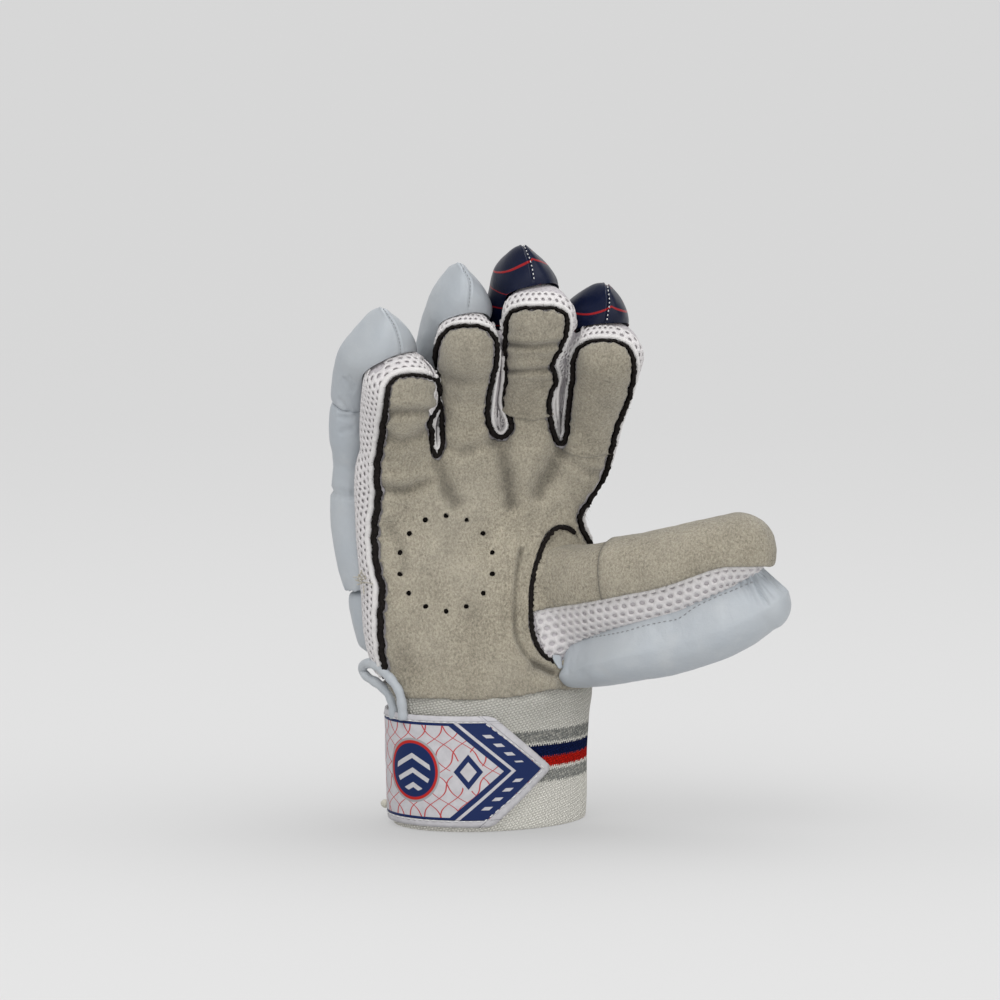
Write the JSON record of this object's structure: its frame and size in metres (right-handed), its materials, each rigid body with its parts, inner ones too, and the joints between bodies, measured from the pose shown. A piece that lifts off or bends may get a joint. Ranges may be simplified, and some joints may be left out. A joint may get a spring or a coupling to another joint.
{
  "type": "cricket batting glove",
  "caption": "Right-hand cricket batting glove standing on its wristband, palm side suede, padded finger rolls behind, thumb held out",
  "frame": {"origin": "bottom centre of the bounding box, on the surface the wristband stands on", "axes": "+Z from the wristband's hem to the fingertips, -Y out of the palm, +X towards the thumb"},
  "size_m": [0.1752, 0.1148, 0.2452],
  "materials": {
    "mesh_cloth": "perforated knit mesh over a pale lining",
    "white_leather": "smooth satin sports leather, stitched",
    "navy_leather": "smooth satin navy leather with thin red piped lines",
    "suede": "matte grey-beige napped palm suede",
    "edging": "matte black ruffled edging",
    "elastic": "ribbed woven elastic with grey, navy and red stripes",
    "strap": "stitched white strap with a navy chevron and thin red lines"
  },
  "bodies": {
    "root": {"hand_sleeve": "mesh_cloth", "little_stall": "mesh_cloth", "little_hood": "white_leather", "little_roll": "white_leather", "little_hand_pad": "white_leather", "ring_stall": "mesh_cloth", "ring_hood": "white_leather", "ring_roll": "white_leather", "ring_hand_pad": "white_leather", "middle_stall": "mesh_cloth", "middle_hood": "navy_leather", "middle_roll": "white_leather", "middle_hand_pad": "white_leather", "index_stall": "mesh_cloth", "index_hood": "navy_leather", "index_roll": "white_leather", "index_hand_pad": "white_leather", "thumb_stall": "mesh_cloth", "palm_leather": "suede", "palm_edging": "edging", "thumb_edging": "edging", "thumb_roll": "white_leather", "thumb_base_leather": "suede", "thumb_tip_leather": "suede", "wristband": "elastic", "strap": "strap", "wrist_loop": "white_leather"}
  },
  "joints": []
}
